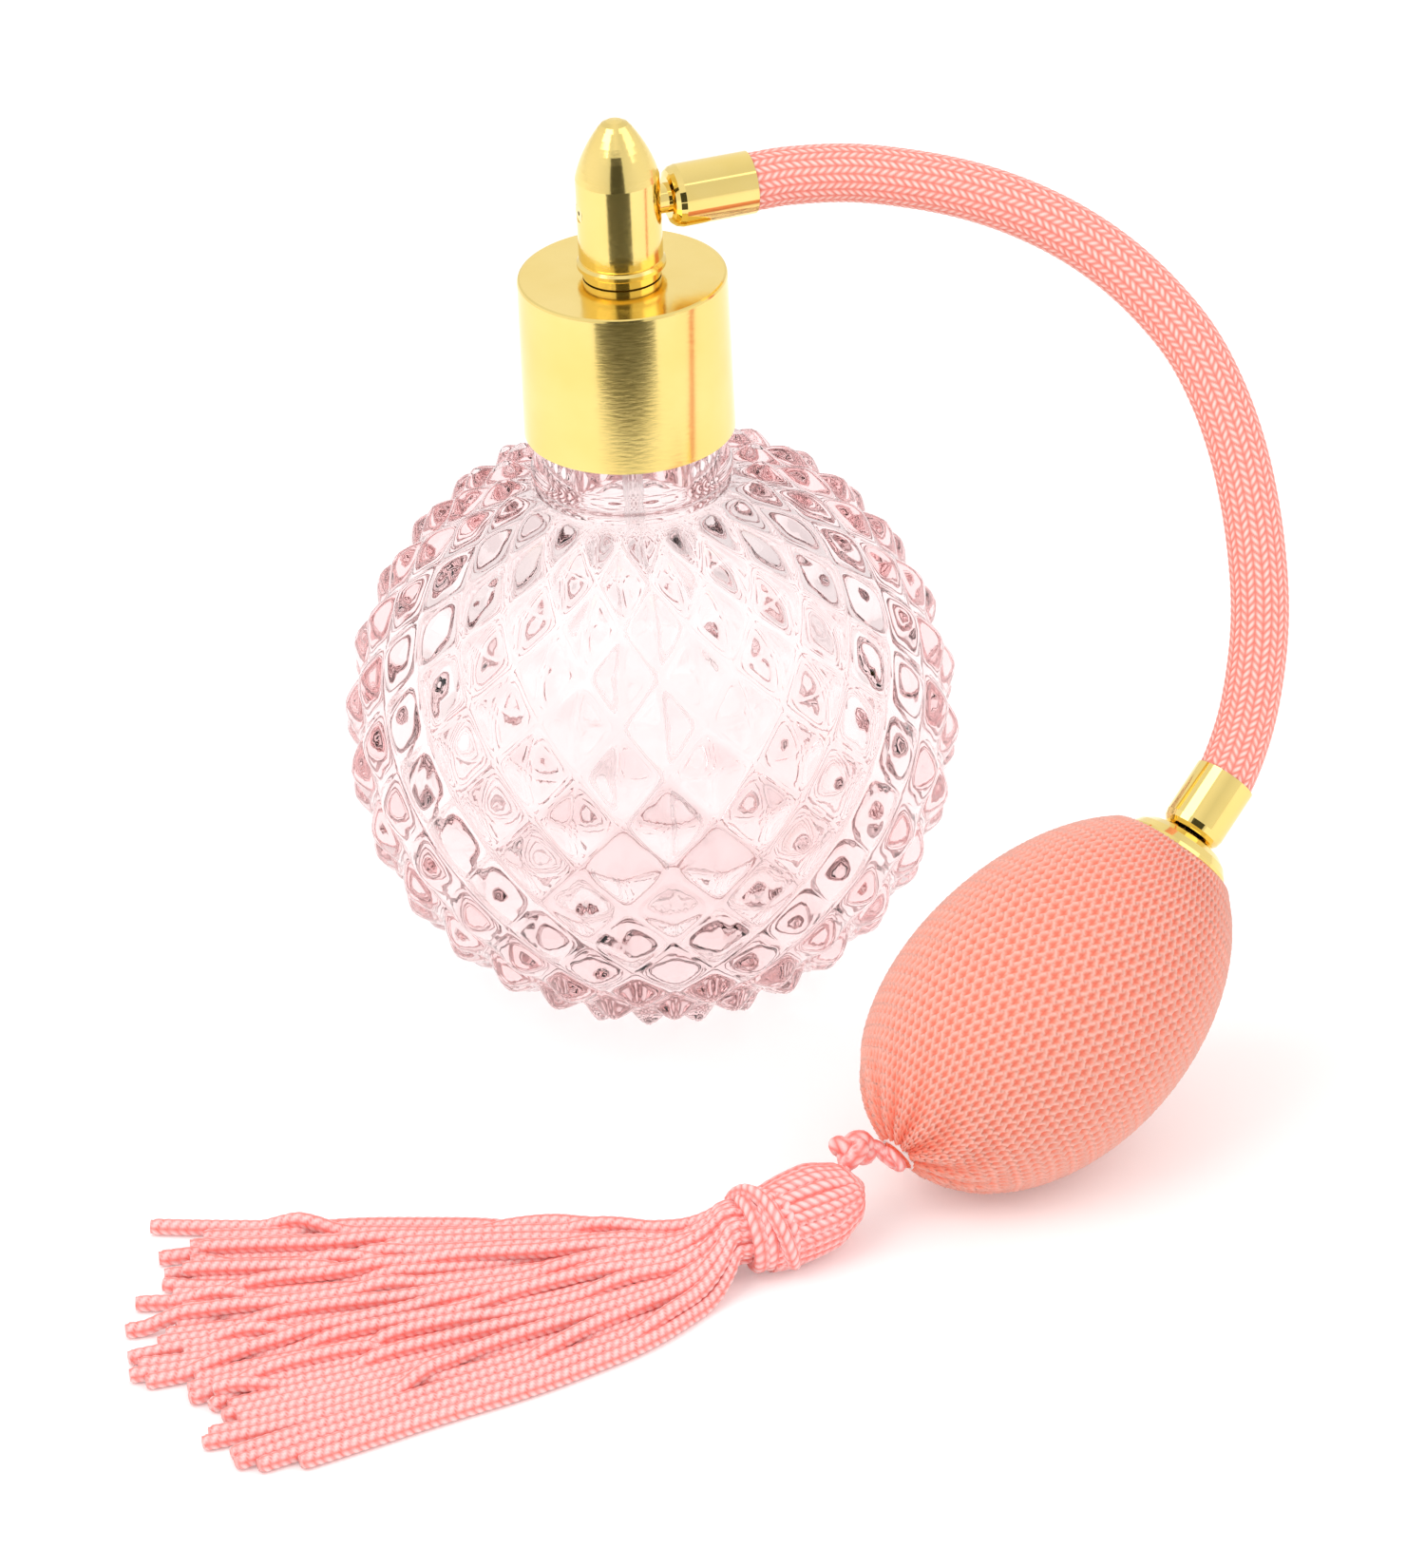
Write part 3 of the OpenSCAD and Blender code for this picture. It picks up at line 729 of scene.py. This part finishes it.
def rubber_bulb():
    outline = bulb_profile(1.3, 0.8, 5.2, 1.2)
    segments = 96
    angle = 2 * math.pi * np.arange(segments)[None, :] / segments
    walls = []
    for inset, rows in ((0.0, outline), (1.5, outline[::-1])):
        r = np.maximum(rows[:, :1] - inset, 0.5)
        z = rows[:, 1:] * (1 - inset / BULB_A)
        walls.append(place_bulb(r + 0 * angle, z + 0 * angle, angle + 0 * r).reshape(-1, 3))
    points = np.concatenate(walls)
    rows = 2 * len(outline)
    bulb = make_mesh("squeeze_bulb_rubber", points, grid_faces(rows, segments, wrap_rows=True), bulb_rubber)
    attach(bulb, "head")
    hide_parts("air_bulb")
    return bulb


def squeeze(*pieces):
    """Gives each of the bulb's soft layers a mesh of its own."""
    for piece in pieces:
        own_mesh(piece)


# ---------------------------------------------------------------- glass

def hobnail_radius(s, t):
    """Distance from the ball's centre of the hobnail skin, at column s and row t of the lattice."""
    p, q = (s + t) / 2, (s - t) / 2
    p, q = np.abs(p - np.round(p)), np.abs(q - np.round(q))
    m = 2 * (p ** 4 + q ** 4) ** 0.25
    m = np.sqrt(m * m + 0.3 ** 2) - 0.12
    m = m - 0.14 * smoothstep(m, 0.7, 1.05) * (m - 0.7) / 0.3
    return BALL_R + 0.3 - HOB_H * np.clip(m, 0, 1.05)


def glass_bottle():
    """One closed skin: hobnails outside, a flat base, neck and thread, and the smooth cavity inside."""
    n = 12
    cols = HOBS_ROUND * n // 2
    first, last = -0.62, 13.55
    k0, k1 = math.floor(first * n), math.ceil(last * n)
    rings = []
    for k in range(k0, k1 + 1):
        t = k / n
        s = 2 * np.arange(cols) / n + (1 / n if k % 2 else 0)
        lat = math.radians(ROW_FIRST + ROW_STEP * t)
        lon = np.radians(HOB_TURN + 9.0 * s)
        r = hobnail_radius(s, np.full(cols, t))
        fade = smoothstep(t, 13.1, 13.55)
        low = smoothstep(-t, 0.25, 0.6)
        r = r * (1 - fade) + fade * (BALL_R - HOB_H)
        r = r * (1 - low) + low * (BALL_R - HOB_H)
        z = BALL_Z + r * math.sin(lat)
        shift = NECK_X * smoothstep(z, 62, 68)
        rings.append(np.stack([r * math.cos(lat) * np.cos(lon) + shift, r * math.cos(lat) * np.sin(lon),
                               np.maximum(z, 0.25)], 1))
    skin_rows = len(rings)
    points = list(rings)
    faces = []
    for row in range(skin_rows - 2):
        k = k0 + row
        i = np.arange(cols)
        right = (i if k % 2 == 0 else i + 1) % cols
        left = (right - 1) % cols
        quad = np.stack([row * cols + i, (row + 1) * cols + right, (row + 2) * cols + i,
                         (row + 1) * cols + left], 1)
        faces += quad.tolist()
    for row, up in ((0, True), (skin_rows - 1, False)):
        k = k0 + row
        other = row + 1 if up else row - 1
        for i in range(cols):
            j = (i + 1) % cols
            mid = i if k % 2 == 0 else j
            face = (row * cols + i, row * cols + j, other * cols + mid)
            faces.append(face if up else face[::-1])

    def ring(r, z, turn=0.0):
        lon = np.radians(HOB_TURN + 9.0 * (2 * np.arange(cols) / n + turn))
        shift = NECK_X * smoothstep(z, 60, 66)
        return np.stack([r * np.cos(lon) + shift, r * np.sin(lon), z + 0 * lon], 1)

    # Neck: shoulder bead, screw finish, rim, bore and cavity, as one outline
    top_turn = 1 / n if k1 % 2 else 0.0
    neck = rounded([(SHOULDER_R + 0.2, 67.6, 0), (SHOULDER_R - 0.3, 68.6), (SHOULDER_R + 0.5, 69.5),
                    (SHOULDER_R + 0.5, 70.4), (SHOULDER_R, 71.3), (SHOULDER_R, 75.8), (NECK_R, 76.6),
                    (NECK_R, 89.4), (NECK_R - 0.6, 90), (NECK_BORE_R, 90), (NECK_BORE_R, 64.5, 0)], 0.5)
    neck = dense(neck, 0.5, closed=False)
    low_angle = math.asin((CAVITY_FLOOR - CAVITY_Z) / CAVITY_R)
    high_angle = math.acos(NECK_BORE_R / CAVITY_R)
    cavity = [(CAVITY_R * math.cos(a), CAVITY_Z + CAVITY_R * math.sin(a))
              for a in np.linspace(high_angle - 0.02, low_angle + 0.06, 60)]
    floor_r = CAVITY_R * math.cos(low_angle)
    cavity += [(floor_r - 0.9, CAVITY_FLOOR + 0.35), (floor_r - 2.2, CAVITY_FLOOR),
               (6, CAVITY_FLOOR), (1.5, CAVITY_FLOOR)]
    count = skin_rows
    below = count
    for r, z in list(neck) + cavity:
        turns = (z - THREAD_Z) / THREAD_PITCH
        points.append(ring(r, z, top_turn))
        if r > NECK_R - 0.3 and 78 < z < 88.5:
            lon = 2 * (np.arange(cols) / cols)
            phase = turns - lon / 2
            worth = smoothstep(phase, -0.1, 0.3) * smoothstep(THREAD_TURNS - phase, -0.1, 0.3)
            off = np.abs(phase - np.round(phase)) * THREAD_PITCH
            bump = THREAD_H * np.clip(1.25 - off / 0.8, 0, 1) * worth
            flat = points[-1]
            flat[:, 0] = NECK_X + (flat[:, 0] - NECK_X) * (1 + bump / r)
            flat[:, 1] *= 1 + bump / r
        count += 1
    faces += grid_faces(count - below + 1, cols, (below - 1) * cols)
    # Base: a flat ring that the bottle stands on, round a slight hollow
    base_turn = 1 / n if k0 % 2 else 0.0
    base_start = count
    base = [(1.5, 0.7), (7, 0.65), (12.3, 0.5), (13.4, 0.1), (13.9, 0.0), (15.9, 0.0), (16.6, 0.06)]
    for r, z in base:
        points.append(ring(r, z, base_turn))
        count += 1
    faces += [f[::-1] for f in grid_faces(len(base), cols, base_start * cols)]
    edge = (base_start + len(base) - 1) * cols
    faces += [(edge + (k + 1) % cols, (k + 1) % cols, k, edge + k) for k in range(cols)]
    total = count * cols
    points = np.vstack([*points, [[0, 0, CAVITY_FLOOR], [0, 0, 0.7]]])
    faces += fan((base_start - 1) * cols, cols, total, flip=True)
    faces += fan(base_start * cols, cols, total + 1, flip=True)
    bottle = make_mesh("hobnail_glass", points, faces, rose_glass)
    bm = bmesh.new()
    bm.from_mesh(bottle.data)
    bmesh.ops.recalc_face_normals(bm, faces=bm.faces)
    bm.to_mesh(bottle.data)
    bm.free()
    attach(bottle, "bottle")
    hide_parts("glass_bottle")
    bottle.visible_shadow = False


# ---------------------------------------------------------------- CAD pieces and surroundings

def finish_cad_pieces():
    slots = {part["node"]: part["material_slot"] for part in frame["record"]["subparts"]}
    for name, obj in frame["nodes"].items():
        finish = SLOT_FINISH[slots[name]]
        if name in ("collar_shell", "head_shell"):
            finish = gold_brushed
        if not obj.material_slots:
            continue
        for slot in obj.material_slots:
            slot.material = finish


def make_floor():
    material, nodes, links, shader = new_material("paper_floor")
    noise = add(nodes, "ShaderNodeTexNoise", in_Scale=3.0)
    ramp = ramp_of(nodes, [(0.3, (0.90, 0.90, 0.90)), (0.7, (0.93, 0.93, 0.93))])
    links.new(noise.outputs["Fac"], ramp.inputs["Fac"])
    links.new(ramp.outputs["Color"], shader.inputs["Base Color"])
    shader.inputs["Roughness"].default_value = 0.9
    shader.inputs["Specular IOR Level"].default_value = 0.1
    shader.inputs["Emission Color"].default_value = (1, 1, 1, 1)
    shader.inputs["Emission Strength"].default_value = 0.16
    half = 6000.0  # far enough that its edge meets the white world
    points = [(-half, -half, -0.02), (half, -half, -0.02), (half, half, -0.02), (-half, half, -0.02)]
    floor = make_mesh("floor", points, [(0, 1, 2, 3)], material)


def make_cards():
    """Dark cards that only reflections see: one on the table, one behind the viewer."""
    material, nodes, links, shader = new_material("dark_card")
    shader.inputs["Base Color"].default_value = (0.05, 0.05, 0.035, 1)
    shader.inputs["Roughness"].default_value = 0.9
    table = [(-110, -172, 0.3), (-460, -900, 0.3), (460, -900, 0.3), (110, -172, 0.3)]
    stand = [(-620, -1700, 1), (-620, -1700, 1150), (620, -1700, 1150), (620, -1700, 1)]
    for name, points in (("table_card", table), ("viewer_card", stand)):
        card = make_mesh(name, points, [(0, 1, 2, 3)], material)
        card.visible_camera = False
        card.visible_diffuse = False
        card.visible_shadow = False
        card.visible_transmission = False


def make_world():
    """Even white light all round, a little dimmer behind the bottle than to its sides."""
    world = bpy.data.worlds.new("studio")
    bpy.context.scene.world = world
    world.use_nodes = True
    nodes, links = world.node_tree.nodes, world.node_tree.links
    background = nodes["Background"]
    where = add(nodes, "ShaderNodeTexCoord")
    split = add(nodes, "ShaderNodeSeparateXYZ")
    share = add(nodes, "ShaderNodeMapRange")
    share.inputs["From Min"].default_value = -1.0
    links.new(where.outputs["Generated"], split.inputs["Vector"])
    links.new(split.outputs["X"], share.inputs["Value"])
    bands = ramp_of(nodes, [(0.0, (1.06, 1.05, 1.04)), (0.3, (0.86, 0.86, 0.86)), (0.5, (1.01, 1.01, 1.01)),
                            (0.72, (0.84, 0.84, 0.84)), (1.0, (1.02, 1.02, 1.02))])
    links.new(share.outputs["Result"], bands.inputs["Fac"])
    links.new(bands.outputs["Color"], background.inputs["Color"])
    background.inputs["Strength"].default_value = 1.0


def make_lights():
    lamps = (("key", (-700, -500, 1100), 900, 5.0), ("fill", (900, -200, 900), 900, 2.0))
    for name, place, size, power in lamps:
        data = bpy.data.lights.new(name, "AREA")
        data.size = size * MM
        data.energy = power
        light = bpy.data.objects.new(name, data)
        x, y, w = axes_of(place)
        matrix = np.eye(4)
        matrix[:3, 0], matrix[:3, 1], matrix[:3, 2], matrix[:3, 3] = x, y, w, np.array(place) * MM
        light.matrix_world = matrix.T.tolist()
        bpy.context.collection.objects.link(light)


make_camera()
hose_cord()
tassel_strands()
finish_cad_pieces()
tassel_head()
tassel_wrap()
knots()
squeeze(rubber_bulb(), knitted_cover())
glass_bottle()
make_floor()
make_cards()
make_world()
make_lights()
bpy.context.scene.view_settings.view_transform = "Standard"
